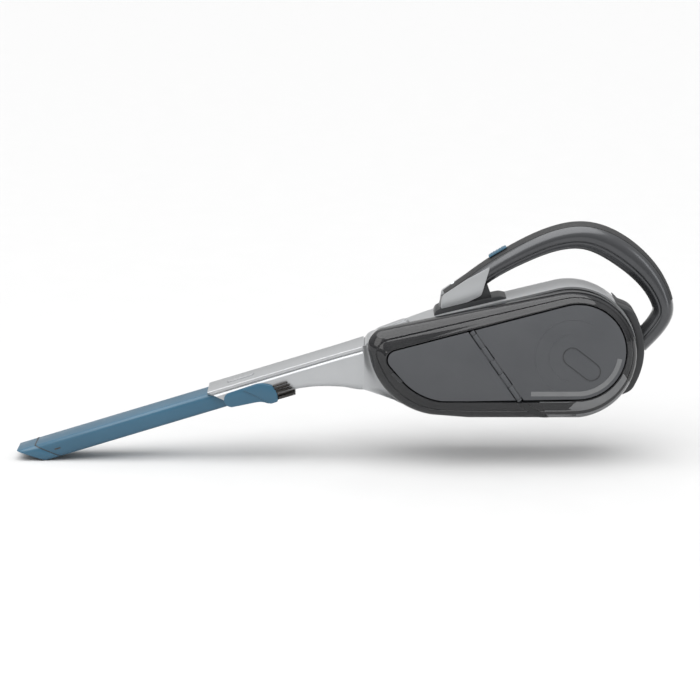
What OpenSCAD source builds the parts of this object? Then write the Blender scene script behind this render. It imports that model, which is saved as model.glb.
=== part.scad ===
// Cordless long-reach handheld vacuum: sliding crevice tool, flip brush, side dust bowl and loop handle.
// Frame: the nozzle points along -X, the dust bowl faces -Y, and +Z is up.
// The origin lies in the flat underside, on the middle plane.

/* [Nozzle and crevice tool] */
// Upward tilt of the nozzle axis
tilt = 17; // [14:0.5:19]
// Width of the crevice tool
tool_w = 38; // [34:1:40]
// Height of the crevice tool
tool_h = 17.4; // [15:0.2:18]
// Outer width of the nozzle
nozzle_w = 46; // [44:1:50]
// Outer height of the nozzle
nozzle_h = 22; // [21.6:0.2:24]

/* [Body] */
// Radius of the round rear of the dust bowl
bowl_r = 60.5; // [58:0.5:61]
// Depth of the dust bowl's outer face, from the middle plane
bowl_depth = 50.5; // [48:0.5:56]
// Depth of the motor side, from the middle plane
motor_side = 48; // [46:1:54]
// Wall thickness of the shells
wall = 2.4; // [2:0.1:2.8]
// Outer radius of the rear cap
cap_r = 70; // [68:0.5:71]

/* [Handle] */
// Half width of the handle
grip_w = 15.5; // [13:0.5:17]
// Half angle that the soft top strip covers
strip_angle = 36; // [30:1:42]
// Wall thickness of the handle's skins
skin_t = 2.4; // [2:0.1:3]

/* [Motor and filter] */
// Radius of the motor can
motor_r = 21; // [18:0.5:23]
// Radius of the fan
fan_r = 38; // [34:0.5:39]
// Number of fan blades
fan_blades = 9; // [7:1:11]
// Number of filter pleats
pleats = 28; // [20:1:36]

/* [Brush] */
// Length of the bristles
bristle_l = 18; // [14:0.5:19]

/* [Hidden] */
$fn = 48;
nose = [-222.3, 34.3];                    // a point on the tilted axis, x and z
hub = [37, 60];                           // centre of the bowl's round rear, x and z
part_y = -24;                             // plane where the bowl meets the motor side
tool_front = -275.7;                      // tip of the crevice tool along the tilted axis
tool_seam = -257;                         // joint of its end cap, at the top
tool_tail = -36;                          // its inner end
rake = 21;                                // how far the lower lip of a raked end lies behind the upper
pivot = -64;                              // brush pivot, along the tilted axis
channel_w = tool_w + 1;
channel_h = tool_h + 0.8;
duct_w = channel_w + 4;
duct_h = channel_h + 3.6;
nozzle_end = -158;
hinge_mid = [-34.4, 50.8];                // middle of the bowl door's hinge line, x and z
hinge_y = 2 - bowl_depth;
hinge_lean = -34.7;
// Circles that bound each outline, as [x, z, radius]: rear, upper front, lower front, then the base
rim = [[hub[0], hub[1], bowl_r], [-138, 68, 16.5], [-84, 72, 70], [-60, 0]];
panel = [[41.3, 64.8, 47.1], [-127, 57.5, 11], [-77, 78, 62.5], [-60, 16]];
// Middle line of the handle with its half height, as [x, z, half height]
handle_line = [
    [-102, 88, 9.5], [-80, 104.3, 9.5], [-58, 120.5, 9.5], [-36.5, 136.5, 9.5], [-4, 154, 10.8],
    [24, 165, 11.8], [54, 167.6, 13.2], [85, 152.4, 14], [112, 128, 12], [125, 103, 10], [124, 90, 10],
    [115, 76.5, 9.8], [101, 62, 9.8], [90, 50, 9.8]
];
handle_steps = 4;
cells = [-9, 10, 29];                     // battery cells across the body
screw_spots = [[-116, 58], [-84, 40], [-66, 80], [-20, 34], [-16, 90]];

// ---- outlines and surfaces ----

function arc(c, r, a0, a1, n) = [for (i = [0:n]) let (a = a0 + (a1 - a0) * i / n)
    [c[0] + r * cos(a), c[1] + r * sin(a)]];

// Direction of the outer line that touches circle p and then circle q, turning left round both
function touch(p, q) = let (v = [q[0] - p[0], q[1] - p[1]])
    (atan2(v[1], v[0]) - acos((p[2] - q[2]) / norm(v)) + 360) % 360;

function mixed(a, b, s) = [for (i = [0:3]) a[i] * (1 - s) + b[i] * s];

// Teardrop outline of a set of circles, moved outwards by d
function teardrop(c, d) = let (
    t1 = touch(c[0], c[1]), t2 = touch(c[1], c[2]), floor_z = c[3][1] - d,
    loop = concat(arc(c[0], c[0][2] + d, -90, t1, 24), arc(c[1], c[1][2] + d, t1, t2, 6),
        arc(c[2], c[2][2] + d, t2, 262, 9), [[c[3][0], floor_z]]))
    [for (p = loop) [p[0], max(p[1], floor_z)]];

// Outline of the motor side: round rear, sloping top and a sloping chin that runs into the nozzle
function motor_outline(d) = let (r = bowl_r + 1.8 + d, front = nozzle_end + 0.5 - d, low = max(0, -d - 0.8))
    concat(arc(hub, r, -asin(min(1, (hub[1] - low) / r)), 102, 24),
        [[-92, 93 + d], [front, 68.5 + d * 0.9], [front, 23 - d * 0.7], [-97, low + 1], [-60, low]]);

function lift(loop, y) = [for (p = loop) [p[0], y, p[1]]];

// Solid through rings of equal count; closed joins the last ring to the first
module skin(rings, closed = false) {
    n = len(rings[0]);
    m = len(rings);
    last = closed ? m - 1 : m - 2;
    sides = [for (k = [0:last], i = [0:n - 1]) let (j = (i + 1) % n, q = (k + 1) % m)
        each [[k * n + i, k * n + j, q * n + j], [k * n + i, q * n + j, q * n + i]]];
    ends = closed ? [] : [[for (i = [n - 1:-1:0]) i], [for (i = [0:n - 1]) (m - 1) * n + i]];
    polyhedron(points = [for (r = rings) each r], faces = concat(sides, ends));
}

// As skin, for C-shaped rings whose second half runs back along the first
module strip(rings) {
    n = len(rings[0]);
    m = len(rings);
    sides = [for (k = [0:m - 2], i = [0:n - 1]) let (j = (i + 1) % n)
        each [[k * n + i, k * n + j, (k + 1) * n + j], [k * n + i, (k + 1) * n + j, (k + 1) * n + i]]];
    ends = [for (i = [0:n / 2 - 2], e = [0, (m - 1) * n]) let (a = e + i, b = e + n - 1 - i)
        each e == 0 ? [[b, a + 1, a], [b, b - 1, a + 1]] : [[a, a + 1, b], [a + 1, b - 1, b]]];
    polyhedron(points = [for (r = rings) each r], faces = concat(sides, ends));
}

module plate(y, t) translate([0, y, 0]) rotate([90, 0, 0]) linear_extrude(t) children();
module along_y(x, z, y0, y1, r) translate([x, y1, z]) rotate([90, 0, 0]) cylinder(r = r, h = y1 - y0);
module tilted() translate([nose[0], 0, nose[1]]) rotate([0, -tilt, 0]) children();
module hinge_frame() translate([hinge_mid[0], hinge_y, hinge_mid[1]]) rotate([0, hinge_lean, 0]) children();

// Rounded rectangle as a ring across the tilted axis at s, slanted by lean from top to bottom
function rounded(w, h, r) = [for (q = [[1, 1, 0], [-1, 1, 90], [-1, -1, 180], [1, -1, 270]], k = [0:4])
    [q[0] * (w / 2 - r) + r * cos(q[2] + k * 22.5), q[1] * (h / 2 - r) + r * sin(q[2] + k * 22.5)]];
// The slant runs over the height tall, so that an inner ring lies in the plane of its outer one
function ring(s, w, h, r, lean, tall) = [for (p = rounded(w, h, r)) [s + lean * (0.5 - p[1] / tall), p[0], p[1]]];

module tube(s0, lean0, s1, lean1, w, h, r, t) skin([
    ring(s0, w, h, r, lean0, h), ring(s1, w, h, r, lean1, h),
    ring(s1, w - 2 * t, h - 2 * t, r - t / 2, lean1, h), ring(s0, w - 2 * t, h - 2 * t, r - t / 2, lean0, h)
], true);

module slot_prism(w, h, r, s0, s1) translate([s0, 0, 0]) rotate([90, 0, 90])
    linear_extrude(s1 - s0) polygon(rounded(w, h, r));

module stadium(l, w, h) linear_extrude(h) polygon(
    concat(arc([(l - w) / 2, 0], w / 2, -90, 90, 10), arc([(w - l) / 2, 0], w / 2, 90, 270, 10)));

// ---- nozzle, crevice tool and brush ----

function axis_z(x) = nose[1] + (x - nose[0]) * tan(tilt);
// Upright slice of the nozzle at x, half as tall as half above the axis, its floor drop below that
function nozzle_ring(x, drop, w, half, r, lean = 0) = let (h = (2 * half) / cos(tilt) + drop)
    [for (p = rounded(w, h, r)) let (dx = lean * (0.5 - p[1] / h))
        [x + dx, p[0], axis_z(x + dx) - drop / 2 + p[1]]];

module nozzle_shell() color("silver") difference() {
    skin([
        nozzle_ring(-306, 0, nozzle_w, nozzle_h / 2, 5, 30), nozzle_ring(-222, 0, nozzle_w, nozzle_h / 2, 5),
        nozzle_ring(-200, 4, nozzle_w + 0.6, nozzle_h / 2, 5), nozzle_ring(-178, 11.3, nozzle_w + 2, nozzle_h / 2, 6),
        nozzle_ring(nozzle_end, 20, nozzle_w + 6, nozzle_h / 2, 8),
        nozzle_ring(nozzle_end, 0, channel_w, channel_h / 2, 4.8),
        nozzle_ring(-306, 0, channel_w, channel_h / 2, 4.8, 30)
    ], true);
    tilted() translate([pivot, 40, 0]) rotate([90, 0, 0]) cylinder(r = 2.05, h = 80);
    tilted() translate([-52, 0, 8]) stadium(27, 13, 8);
}

module tool_release_button() color("gainsboro") tilted() translate([-52, 0, nozzle_h / 2 - 0.9]) {
    stadium(26.4, 12.4, 1.8);
    for (i = [-1:1]) translate([i * 5 - 0.6, -3.5, 1.7]) cube([1.2, 7, 0.6]);
}

module crevice_tube() color("steelblue") tilted()
    tube(tool_seam, rake, tool_tail, 0, tool_w, tool_h, 4.5, 2);

module crevice_tip() color("steelblue") tilted()
    tube(tool_front, rake + 4, tool_seam - 0.1, rake, tool_w, tool_h, 4.5, 2);

module crevice_stop() color("dimgray") tilted()
    tube(tool_tail - 6, 0, tool_tail, 0, tool_w + 0.6, tool_h + 0.5, 4.7, 0.2);

// Arm of the brush beside the nozzle: a round end at the pivot that widens to the head
module brush_arm(side) translate([pivot, side > 0 ? nozzle_w / 2 + 2.8 : -nozzle_w / 2 - 0.4, 0])
    rotate([90, 0, 0]) linear_extrude(2.4) polygon(concat(
        arc([0, -2], 7.2, 100, 262, 12), [[26, -11.6], [34, -15.6], [41, -15.6], [44, -9], [41, 0], [31, 6]]));

module brush_frame() color("steelblue") tilted() {
    brush_arm(1);
    brush_arm(-1);
    translate([pivot + 33, -nozzle_w / 2 - 2.8, -16.4]) cube([9, nozzle_w + 5.6, 4.4]);
}

module brush_pins() color("steelblue") tilted() for (side = [-1, 1])
    translate([pivot, side > 0 ? nozzle_w / 2 + 0.4 : -nozzle_w / 2 + 2.4, 0]) rotate([90, 0, 0])
        cylinder(r = 2, h = 2.8);

module brush_bristles() color("#2a2422") tilted() {
    for (side = [-1, 1], k = [0:3])
        translate([pivot + 44.3 - k * 0.2, side * (nozzle_w / 2 + 1.6), -12.5 + k * 4]) rotate([0, 90, 0])
            cylinder(r = 1.1, h = bristle_l - abs(k - 1) * 1.4);
    for (k = [0:9]) translate([pivot + 42.1, -18 + k * 4, -14.2]) rotate([0, 90, 0])
        cylinder(r = 1.3, h = bristle_l);
}

// ---- body ----

module air_duct() color("darkgray") difference() {
    tilted() slot_prism(duct_w, duct_h, 5.4, 40, 194);
    tilted() slot_prism(channel_w + 0.4, channel_h + 0.4, 5, 39, 191.5);
    tilted() translate([158, -duct_w, -8]) cube([30, duct_w, 16]);
    translate([nozzle_end - 60, -50, -20]) cube([60.2, 100, 160]);
}

module mid_frame() color("dimgray") difference() {
    plate(part_y + 2.4, 2.4) polygon(teardrop(rim, -3.6));
    along_y(hub[0], hub[1], part_y - 1, part_y + 4, 20);
    tilted() translate([158, part_y - 2, -8]) cube([30, 6, 16]);
}

module housing_shell() color("silver") difference() {
    skin([
        lift(motor_outline(-24), motor_side), lift(motor_outline(-14), motor_side - 2.6),
        lift(motor_outline(-6), motor_side - 9), lift(motor_outline(-1), motor_side - 21),
        lift(motor_outline(0), 10), lift(motor_outline(-0.5), part_y + 2.5),
        lift(motor_outline(-0.5 - wall), part_y + 2.5), lift(motor_outline(-wall), 10),
        lift(motor_outline(-1.2 - wall), motor_side - 22), lift(motor_outline(-7.6 - wall * 0.4), motor_side - 10.5),
        lift(motor_outline(-15), motor_side - 4.8), lift(motor_outline(-24), motor_side - 2.4)
    ]);
    // Opening for the nozzle's duct, the exhaust, the charging socket, the release button and the screws
    tilted() slot_prism(duct_w + 0.6, duct_h + 0.6, 5.6, 30, 90);
    along_y(hub[0], hub[1], motor_side - 8, motor_side + 5, 33);
    along_y(-52, 56, motor_side - 8, motor_side + 5, 5.1);
    release_frame() translate([0, 0, -6]) stadium(34.8, 15.8, 14);
    for (s = screw_spots) along_y(s[0], s[1], motor_side - 12, motor_side + 5, 1.7);
}

module release_frame() translate([-131, 0, 78.4]) rotate([0, -20.5, 0]) children();

module bowl_release_button() color("gainsboro") release_frame() {
    translate([0, 0, -0.9]) stadium(34, 15, 3.6);
    translate([0, 0, 2.6]) stadium(30, 11, 1.2);
}

// Dark cap wrapped round the rear of the motor side
function cap_ring(a) = let (r0 = bowl_r + 2.1, r1 = r0 + 0.8 + (cap_r - r0 - 0.8) * min(1, (48 - abs(a)) / 14))
    [for (p = [[r0, part_y + 3], [r1 - 1.6, part_y + 3], [r1, part_y + 5], [r1, 18], [r1 - 1.4, 25],
        [r0 + 0.6, 29], [r0, 29]]) [hub[0] + p[0] * cos(a), p[1], hub[1] + p[0] * sin(a)]];

module rear_cap() color("#2b2c2e") skin([for (a = [-48:6:48]) cap_ring(a)]);

module exhaust_grille() color("#3a3b3d") difference() {
    union() {
        along_y(hub[0], hub[1], motor_side + 0.1, motor_side + 2.6, 38);
        along_y(hub[0], hub[1], motor_side - 4, motor_side + 0.2, 32.8);
    }
    along_y(hub[0], hub[1], motor_side - 6, motor_side, 30);
    for (a = [0:20:340]) translate([hub[0], 0, hub[1]]) rotate([0, a, 0])
        translate([15, motor_side - 6, -1.4]) cube([13, 12, 2.8]);
}

// ---- motor, fan and electrics ----

module motor_can() color("lightgray") difference() {
    union() {
        along_y(hub[0], hub[1], -2, 36, motor_r);
        along_y(hub[0], hub[1], 35.9, 39.5, 7);
    }
    along_y(hub[0], hub[1], -3, 9, 1.65);
}

module motor_mount() color("dimgray") difference() {
    union() {
        along_y(hub[0], hub[1], 12, 20, motor_r + 4);
        for (a = [30, 150, 270]) translate([hub[0], 0, hub[1]]) rotate([0, a, 0])
            translate([0, 13, -4]) cube([55, 6, 8]);
    }
    along_y(hub[0], hub[1], 11, 21, motor_r + 0.05);
}

module motor_shaft() color("gainsboro") along_y(hub[0], hub[1], -19.5, 8, 1.6);

module fan_impeller() color("#d8d8d2") difference() {
    union() {
        along_y(hub[0], hub[1], -8, -6.4, fan_r);
        along_y(hub[0], hub[1], -17.5, -7.9, 7);
        for (k = [0:fan_blades - 1]) translate([hub[0], 0, hub[1]]) rotate([0, k * 360 / fan_blades, 0])
            translate([6, -16.5, -0.7]) rotate([0, 18, 0]) cube([fan_r - 8, 8.6, 1.4]);
    }
    along_y(hub[0], hub[1], -18, -6, 1.61);
}

module fan_shroud() color("darkgray") difference() {
    along_y(hub[0], hub[1], part_y + 2.5, -3.2, fan_r + 4);
    along_y(hub[0], hub[1], part_y + 2, -5, fan_r + 2);
    along_y(hub[0], hub[1], -6, -2, 14);
    for (a = [0:45:315]) translate([hub[0], 0, hub[1]]) rotate([0, a, 0])
        translate([24, -6, -4]) cube([10, 6, 8]);
}

module battery_cells() color("mediumseagreen") for (y = cells) translate([-105, y, 22.4]) rotate([0, 90, 0]) {
    cylinder(r = 9.1, h = 65);
    translate([0, 0, 64.9]) cylinder(r = 2.8, h = 1.1);
}

module battery_tray() color("#404244") difference() {
    translate([-99, -19, 9.4]) cube([64, 54, 10]);
    for (y = cells) translate([-105.2, y, 22.4]) rotate([0, 90, 0]) cylinder(r = 9.3, h = 66.5);
}

module circuit_board() color("darkgreen") {
    translate([-88, 26, 36]) cube([56, 1.6, 22]);
    translate([-80, 27.5, 40]) cube([12, 3, 8]);
    translate([-60, 27.5, 42]) cube([8, 5, 10]);
    for (k = [0:3]) translate([-48 + k * 3.5, 27.5, 40]) cube([2, 2, 3]);
}

module micro_switch() color("#202124") {
    translate([-38, -4, 132]) rotate([0, -30, 0]) cube([14, 8, 4]);
}

module charge_socket() color("#202124") difference() {
    union() {
        along_y(-52, 56, motor_side - 14, motor_side + 0.2, 5);
        along_y(-52, 56, motor_side + 0.1, motor_side + 1.2, 7);
    }
    along_y(-52, 56, motor_side - 10, motor_side + 3, 2.9);
}

module housing_screws() color("gray") for (s = screw_spots) difference() {
    union() {
        along_y(s[0], s[1], motor_side + 0.1, motor_side + 1.9, 3.2);
        along_y(s[0], s[1], motor_side - 10, motor_side + 0.2, 1.5);
    }
    for (a = [45, 135]) translate([s[0], motor_side + 2, s[1]]) rotate([0, a, 0]) cube([4, 1.6, 0.8], center = true);
}

// ---- filter and dust bowl ----

module filter_frame() color("#55585b") difference() {
    along_y(hub[0], hub[1], -39, part_y - 0.1, 41);
    along_y(hub[0], hub[1], -37, part_y + 1, 38);
    along_y(hub[0], hub[1], -40, -36, 33);
}

module filter_pleats() color("ivory") difference() {
    plate(part_y - 0.4, 12) polygon([for (k = [0:2 * pleats - 1]) let (a = k * 180 / pleats, r = k % 2 ? 31 : 37.4)
        [hub[0] + r * cos(a), hub[1] + r * sin(a)]]);
    plate(part_y + 1, 15) polygon([for (k = [0:2 * pleats - 1]) let (a = k * 180 / pleats, r = k % 2 ? 26 : 32)
        [hub[0] + r * cos(a), hub[1] + r * sin(a)]]);
}

module filter_screen() color("#6f7376") difference() {
    along_y(hub[0], hub[1], -40.8, -39.1, 40);
    for (q = [[10, 6], [19, 12], [28, 18]], k = [0:q[1] - 1]) let (a = k * 360 / q[1])
        along_y(hub[0] + q[0] * cos(a), hub[1] + q[0] * sin(a), -42, -38, 2.6);
}

module dust_bowl() color([0.25, 0.26, 0.28, 0.6]) skin([
    lift(teardrop(rim, -0.9), part_y - 0.3), lift(teardrop(rim, 0), -38),
    lift(teardrop(mixed(rim, panel, 0.3), 0), -44), lift(teardrop(mixed(rim, panel, 0.75), 0), 2 - bowl_depth),
    lift(teardrop(panel, 0), 0.8 - bowl_depth),
    lift(teardrop(panel, -2), 0.8 - bowl_depth), lift(teardrop(panel, -2), 3.2 - bowl_depth),
    lift(teardrop(mixed(rim, panel, 0.3), -wall), -42.4), lift(teardrop(rim, -wall), -37),
    lift(teardrop(rim, -0.9 - wall), part_y - 0.3)
], true);

module bowl_seal() color("#18191a") difference() {
    plate(part_y - 0.4, 2.2) polygon(teardrop(rim, -1.2 - wall));
    plate(part_y + 1, 5) polygon(teardrop(rim, -3.4 - wall));
    along_y(hub[0], hub[1], -30, part_y, 41.2);
}

module panel_plate() plate(2.6 - bowl_depth, 2.2) polygon(teardrop(panel, -2.3));

module barrels(spans) for (s = spans) hinge_frame() translate([0, 0, s[0]]) cylinder(r = 2.6, h = s[1] - s[0]);

fixed_spans = [[-37, -22.6], [-7.3, 7.3], [22.6, 37]];
door_spans = [[-22.3, -7.6], [7.6, 22.3]];

// Fixed rear part of the bowl's face, with a plain raised frame
module bowl_panel() color("#4b4d50") difference() {
    union() {
        intersection() {
            panel_plate();
            hinge_frame() translate([3.2, -10, -90]) cube([170, 20, 180]);
        }
        barrels(fixed_spans);
        for (s = fixed_spans) hinge_frame() translate([1.6, -1, s[0]]) cube([2.4, 1.9, s[1] - s[0]]);
    }
    hinge_frame() translate([0, 0, -60]) cylinder(r = 1.52, h = 120);
}

module hinge_pin() color("gainsboro") hinge_frame() translate([0, 0, -36.5]) cylinder(r = 1.5, h = 73);

module bowl_door() color("#4b4d50") difference() {
    union() {
        intersection() {
            panel_plate();
            hinge_frame() translate([-173, -10, -90]) cube([170, 20, 180]);
        }
        barrels(door_spans);
        for (s = door_spans) hinge_frame() translate([-4, -1, s[0]]) cube([2.4, 1.9, s[1] - s[0]]);
    }
    hinge_frame() translate([0, 0, -60]) cylinder(r = 1.56, h = 120);
}

module door_latch() color("#2f3133") translate([-127.2, 0.3 - bowl_depth, 40.5]) rotate([0, 45, 0])
    translate([-6, -0.8, -1.5]) cube([12, 0.7, 3]);

// ---- handle ----

function spline(p, i, t) = let (a = p[i - 1], b = p[i], c = p[i + 1], d = p[i + 2])
    0.5 * (2 * b + (c - a) * t + (2 * a - 5 * b + 4 * c - d) * t * t + (3 * b - a - 3 * c + d) * t * t * t);

handle_path = [for (i = [1:len(handle_line) - 3], k = [0:handle_steps - 1]) spline(handle_line, i, k / handle_steps)];

// C-shaped section at step k, from angle a0 to a1 off the outer side, between two skins
function handle_ring(k, a0, a1, n, out, depth) = let (
    p = handle_path[k], q = handle_path[max(k - 1, 0)], s = handle_path[min(k + 1, len(handle_path) - 1)],
    t = [s[0] - q[0], s[1] - q[1]] / norm([s[0] - q[0], s[1] - q[1]]),
    at = function(a, d) let (y = -(grip_w + d) * sin(a), h = (p[2] + d) * cos(a))
        [p[0] - t[1] * h, y, p[1] + t[0] * h])
    concat([for (i = [0:n]) at(a0 + (a1 - a0) * i / n, out)], [for (i = [n:-1:0]) at(a0 + (a1 - a0) * i / n, -depth)]);

module handle_strip(k1, a0, a1, n, out) strip([for (k = [0:k1]) handle_ring(k, a0, a1, n, out, skin_t)]);

module handle_sector(a0, a1, n, out) difference() {
    handle_strip(len(handle_path) - 1, a0, a1, n, out);
    // Seat on the neck in front, and on the rear cap behind
    translate([0, 30, 0]) rotate([90, 0, 0]) linear_extrude(60)
        polygon([[-120, 89.5], [-27, 111.9], [-27, 60], [-120, 60]]);
    along_y(hub[0], hub[1], -30, 30, cap_r + 0.2);
}

module handle_shell_near() color("dimgray")
    handle_sector(strip_angle + 0.6, 149.4, 7, 0);
module handle_shell_far() color("dimgray")
    handle_sector(210.6, 359.4 - strip_angle, 7, 0);
module grip_under() color("#2b2c2e")
    handle_sector(150, 210, 4, 0.2);

module switch_frame() translate([-31.5, 0, 149.4]) rotate([0, -30.5, 0]) children();
module lens_frame() translate([-73.6, 0, 120.6]) rotate([0, -36.2, 0]) children();

module grip_top() color("#1d1e1f") handle_strip(32, -strip_angle, strip_angle, 6, 0.3);

module status_lens() color("white") lens_frame() translate([0, 0, 0.6]) cylinder(r = 1.8, h = 0.7);

module power_switch() color("steelblue") switch_frame() {
    translate([-8.8, -5.4, 1.9]) cube([19, 10.8, 1.3]);
    for (i = [0:4]) translate([-6.2 + i * 3, -4.4, 3.1]) cube([1.4, 8.8, 0.7]);
}

module handle_neck() color("silver") translate([0, 13, 0]) rotate([90, 0, 0]) linear_extrude(26) polygon([
    [-92.5, 93.3], [-27, 109], [-27, 112.4], [-33.5, 119.5], [-32.5, 126.6], [-66, 102.2],
    [-77.2, 99.7], [-86.4, 111.4]]);

nozzle_shell();
tool_release_button();
crevice_tube();
crevice_tip();
crevice_stop();
brush_frame();
brush_bristles();
brush_pins();
air_duct();
mid_frame();
housing_shell();
bowl_release_button();
rear_cap();
exhaust_grille();
motor_can();
motor_mount();
motor_shaft();
fan_impeller();
fan_shroud();
battery_cells();
battery_tray();
circuit_board();
micro_switch();
charge_socket();
housing_screws();
filter_frame();
filter_pleats();
filter_screen();
dust_bowl();
bowl_seal();
bowl_panel();
hinge_pin();
bowl_door();
door_latch();
handle_neck();
handle_shell_near();
handle_shell_far();
grip_top();
grip_under();
status_lens();
power_switch();
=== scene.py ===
# %% [markdown]
# # A handheld vacuum, built over its CAD frame
# The CAD model already has every part at its real size, and says how each part moves. This lesson dresses
# it: smooth shells go over the faceted ones, small fittings are added, and each finish is made from nodes.
# All of it stays in the CAD's own frame. The nozzle points along -X, the dust bowl faces -Y, and Z is up.

# %% Load the frame
import math
import random

import bmesh
import bpy
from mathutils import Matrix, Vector


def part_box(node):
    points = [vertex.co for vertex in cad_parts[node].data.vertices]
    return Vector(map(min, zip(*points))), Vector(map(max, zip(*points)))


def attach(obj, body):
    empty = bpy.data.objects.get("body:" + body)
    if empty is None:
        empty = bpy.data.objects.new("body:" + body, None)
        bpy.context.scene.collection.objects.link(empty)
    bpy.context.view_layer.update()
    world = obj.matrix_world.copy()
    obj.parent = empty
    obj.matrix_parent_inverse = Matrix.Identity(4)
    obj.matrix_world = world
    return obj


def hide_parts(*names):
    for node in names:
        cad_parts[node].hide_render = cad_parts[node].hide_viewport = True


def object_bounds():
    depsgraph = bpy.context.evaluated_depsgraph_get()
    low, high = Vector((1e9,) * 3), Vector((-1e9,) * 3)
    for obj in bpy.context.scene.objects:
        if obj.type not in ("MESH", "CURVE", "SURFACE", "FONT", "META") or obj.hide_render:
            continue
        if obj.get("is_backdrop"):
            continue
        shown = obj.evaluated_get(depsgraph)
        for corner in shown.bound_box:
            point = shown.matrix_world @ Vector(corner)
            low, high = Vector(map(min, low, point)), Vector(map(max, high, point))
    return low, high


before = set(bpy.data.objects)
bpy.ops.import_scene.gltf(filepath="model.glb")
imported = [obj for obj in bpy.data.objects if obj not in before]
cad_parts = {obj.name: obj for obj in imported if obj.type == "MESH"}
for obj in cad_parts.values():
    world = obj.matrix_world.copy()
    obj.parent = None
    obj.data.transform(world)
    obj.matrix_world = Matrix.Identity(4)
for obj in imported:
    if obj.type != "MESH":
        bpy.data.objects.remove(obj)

scene = bpy.context.scene
cad_box = [list(corner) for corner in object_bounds()]
print("CAD box:", cad_box)

# %% [markdown]
# ## Camera
# A long lens far away keeps the parallel look of a catalogue picture. The camera stands 12 degrees above
# the table, straight in front of the bowl. It aims near the middle of the whole object's box, so that a
# change of size in the CAD moves the picture with it.

# %% Camera in front of the bowl
low, high = (Vector(corner) for corner in cad_box)
middle = (low + high) / 2
up_angle = math.radians(12)
away = Vector((0, -math.cos(up_angle), math.sin(up_angle)))
lens = bpy.data.cameras.new("catalogue_lens")
lens.lens = 135
lens.sensor_width = 36
camera = bpy.data.objects.new("catalogue_camera", lens)
scene.collection.objects.link(camera)
aim = Vector((middle.x + 0.0058, 0, middle.z - 0.0105))
camera.location = aim + away * 2.494
camera.rotation_euler = (math.radians(90) - up_angle, 0, 0)
scene.camera = camera
print("camera at", [round(v, 3) for v in camera.location])

# %% [markdown]
# ## Table and light
# The object rests on a pale table. A wide sun, as soft as an overcast sky, lights the whole table evenly, and
# the white room fills the shadows. Dark gloss only shows its shape by what it mirrors, so soft boxes stand
# at the sides: they draw the bright line along the handle and the edge of the bowl.

# %% Table
def board_mesh(name, size, height):
    sheet = bmesh.new()
    bmesh.ops.create_grid(sheet, x_segments=2, y_segments=2, size=size)
    bmesh.ops.translate(sheet, verts=sheet.verts, vec=(0, 0, height))
    mesh = bpy.data.meshes.new(name)
    sheet.to_mesh(mesh)
    sheet.free()
    return mesh


table_top = bpy.data.objects.new("table_top", board_mesh("table_top", 30, low.z))
scene.collection.objects.link(table_top)
table_top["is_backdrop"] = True
print("table at z =", round(low.z, 4))


# %% Sun, soft boxes and room
def soft_box(name, place, width, depth, power, tint=(1, 1, 1)):
    light = bpy.data.lights.new(name, "AREA")
    light.shape = "RECTANGLE"
    light.size = width
    light.size_y = depth
    light.energy = power
    light.color = tint
    lamp = bpy.data.objects.new(name, light)
    lamp.location = place
    lamp.rotation_euler = (Vector(place) - middle).to_track_quat("Z", "Y").to_euler()
    scene.collection.objects.link(lamp)
    return lamp


sky = bpy.data.lights.new("soft_sun", "SUN")
sky.energy = 2.7
sky.angle = math.radians(70)
sun = bpy.data.objects.new("soft_sun", sky)
sun.rotation_euler = (math.radians(18), math.radians(-8), 0)
scene.collection.objects.link(sun)
soft_box("box_left", (-1.3, -1.3, 0.8), 0.8, 1.0, 5, (1.0, 0.99, 0.97))
soft_box("box_right", (1.5, -0.7, 0.6), 0.4, 1.2, 4, (0.97, 0.98, 1.0))
room = bpy.data.worlds.new("white_room")
room.use_nodes = True
walls = room.node_tree
direction = walls.nodes.new("ShaderNodeTexCoord")
upward = walls.nodes.new("ShaderNodeSeparateXYZ")
brighter = walls.nodes.new("ShaderNodeMapRange")
brighter.inputs["From Max"].default_value = 0.8
brighter.inputs["To Min"].default_value = 0.30
brighter.inputs["To Max"].default_value = 0.95
walls.links.new(direction.outputs["Generated"], upward.inputs[0])
walls.links.new(upward.outputs["Z"], brighter.inputs["Value"])
walls.links.new(brighter.outputs["Result"], walls.nodes["Background"].inputs["Strength"])
walls.nodes["Background"].inputs["Color"].default_value = (1, 1, 1, 1)
scene.world = room
scene.view_settings.view_transform = "Standard"

# %% [markdown]
# ## Effects that the finishes share
# Moulded plastic has a fine spark-eroded grain, its colour drifts a little, its corners are polished by
# hands, and dust settles on what faces up. Each effect is one node group with its own dials, made once and
# placed in every finish with that finish's values. The groups only give masks and heights: the shader itself
# stays in each finish, so that an exporter can read it.


# %% A short way to make a node group
def effect(name, inputs, outputs):
    group = bpy.data.node_groups.new(name, "ShaderNodeTree")
    for label, start in inputs:
        socket = group.interface.new_socket(label, in_out="INPUT", socket_type="NodeSocketFloat")
        socket.default_value = start
    for label in outputs:
        group.interface.new_socket(label, in_out="OUTPUT", socket_type="NodeSocketFloat")
    return group, group.nodes.new("NodeGroupInput"), group.nodes.new("NodeGroupOutput")


def node(tree, kind, **settings):
    made = tree.nodes.new("ShaderNode" + kind)
    for key, value in settings.items():
        if key in made.inputs:
            made.inputs[key].default_value = value
        else:
            setattr(made, key, value)
    return made


def wire(tree, *pairs):
    """Links each output to the input beside it."""
    for source, target in pairs:
        tree.links.new(source, target)


def reach(tree, source, low_in, high_in, low_out, high_out):
    """Maps a value from one range to another."""
    ramp = node(tree, "MapRange")
    dials = {"From Min": low_in, "From Max": high_in, "To Min": low_out, "To Max": high_out}
    for label, value in dials.items():
        ramp.inputs[label].default_value = value
    tree.links.new(source, ramp.inputs["Value"])
    return ramp.outputs["Result"]


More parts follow.
